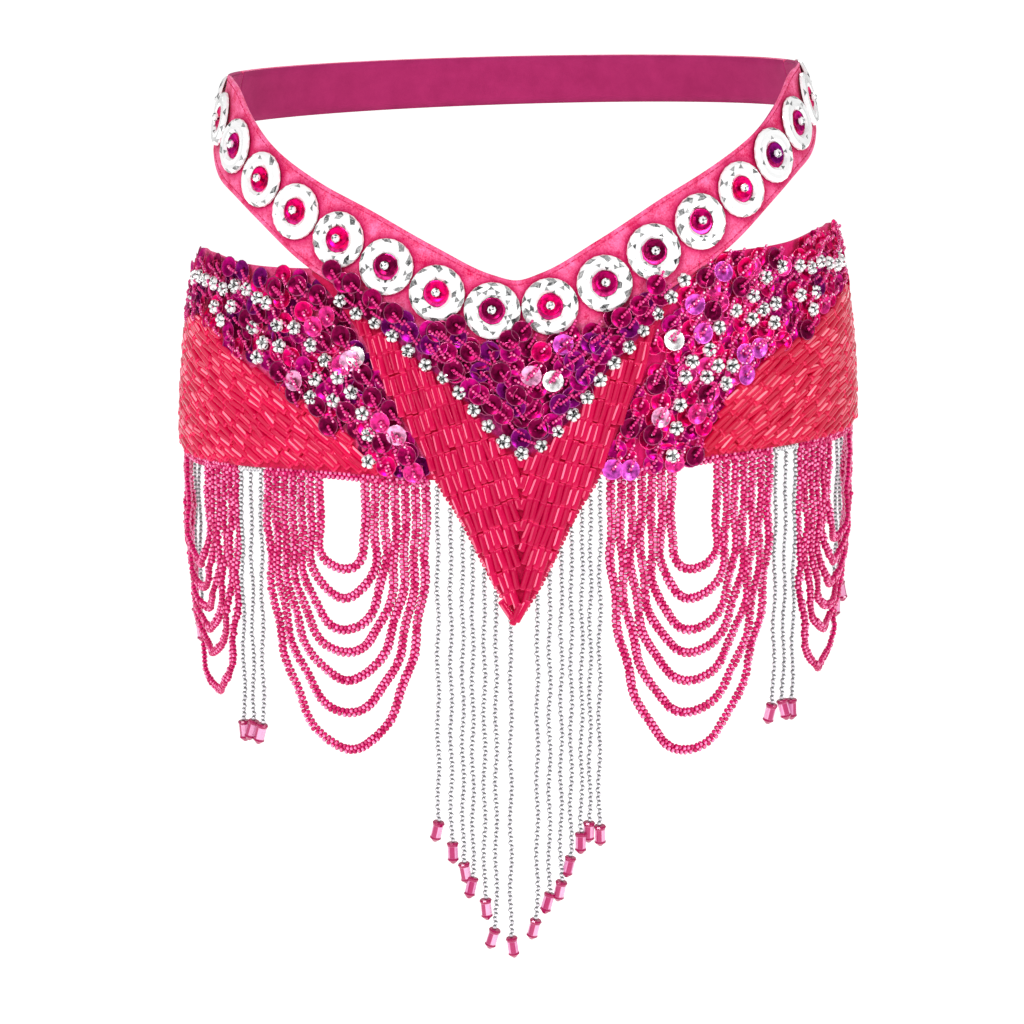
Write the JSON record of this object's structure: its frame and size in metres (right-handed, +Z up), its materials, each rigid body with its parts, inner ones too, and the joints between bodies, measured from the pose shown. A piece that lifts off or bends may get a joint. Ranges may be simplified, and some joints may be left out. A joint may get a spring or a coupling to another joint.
{
  "type": "belly dance hip belt",
  "caption": "Worn belly dance hip belt: disc-set strap, pointed beaded front panel, side panels, looped bead swags and straight bead fringe on a hollow hip form.",
  "frame": {"origin": "centre of the waist ring, where the wearer's hips hold the belt", "axes": "+Z up, -Y the wearer's front, +X the wearer's left"},
  "size_m": [0.3366, 0.2396, 0.4255],
  "materials": {
    "velvet": "short pile, satin highlights",
    "backing": "matte",
    "beaded_panel": "covered in glass bugle beads and sequins",
    "discs": "faceted mirror",
    "pink_beads": "gloss",
    "clear_beads": "gloss"
  },
  "bodies": {
    "root": {"front_strap": "velvet", "front_v_panel": "beaded_panel", "side_panel_left": "beaded_panel", "side_panel_right": "beaded_panel", "back_band": "backing", "hip_elastic": "backing", "front_fringe": "clear_beads", "front_swag_left": "pink_beads", "front_swag_right": "pink_beads", "side_swag_left": "pink_beads", "side_swag_right": "pink_beads", "side_tassel_left": "clear_beads", "side_tassel_right": "clear_beads", "rear_tassel_left": "clear_beads", "rear_tassel_right": "clear_beads", "disc_left_1": "discs", "disc_left_2": "discs", "disc_left_3": "discs", "disc_left_4": "discs", "disc_left_5": "discs", "disc_left_6": "discs", "disc_left_7": "discs", "disc_left_8": "discs", "disc_left_9": "discs", "disc_right_1": "discs", "disc_right_2": "discs", "disc_right_3": "discs", "disc_right_4": "discs", "disc_right_5": "discs", "disc_right_6": "discs", "disc_right_7": "discs", "disc_right_8": "discs", "disc_right_9": "discs"}
  },
  "joints": []
}
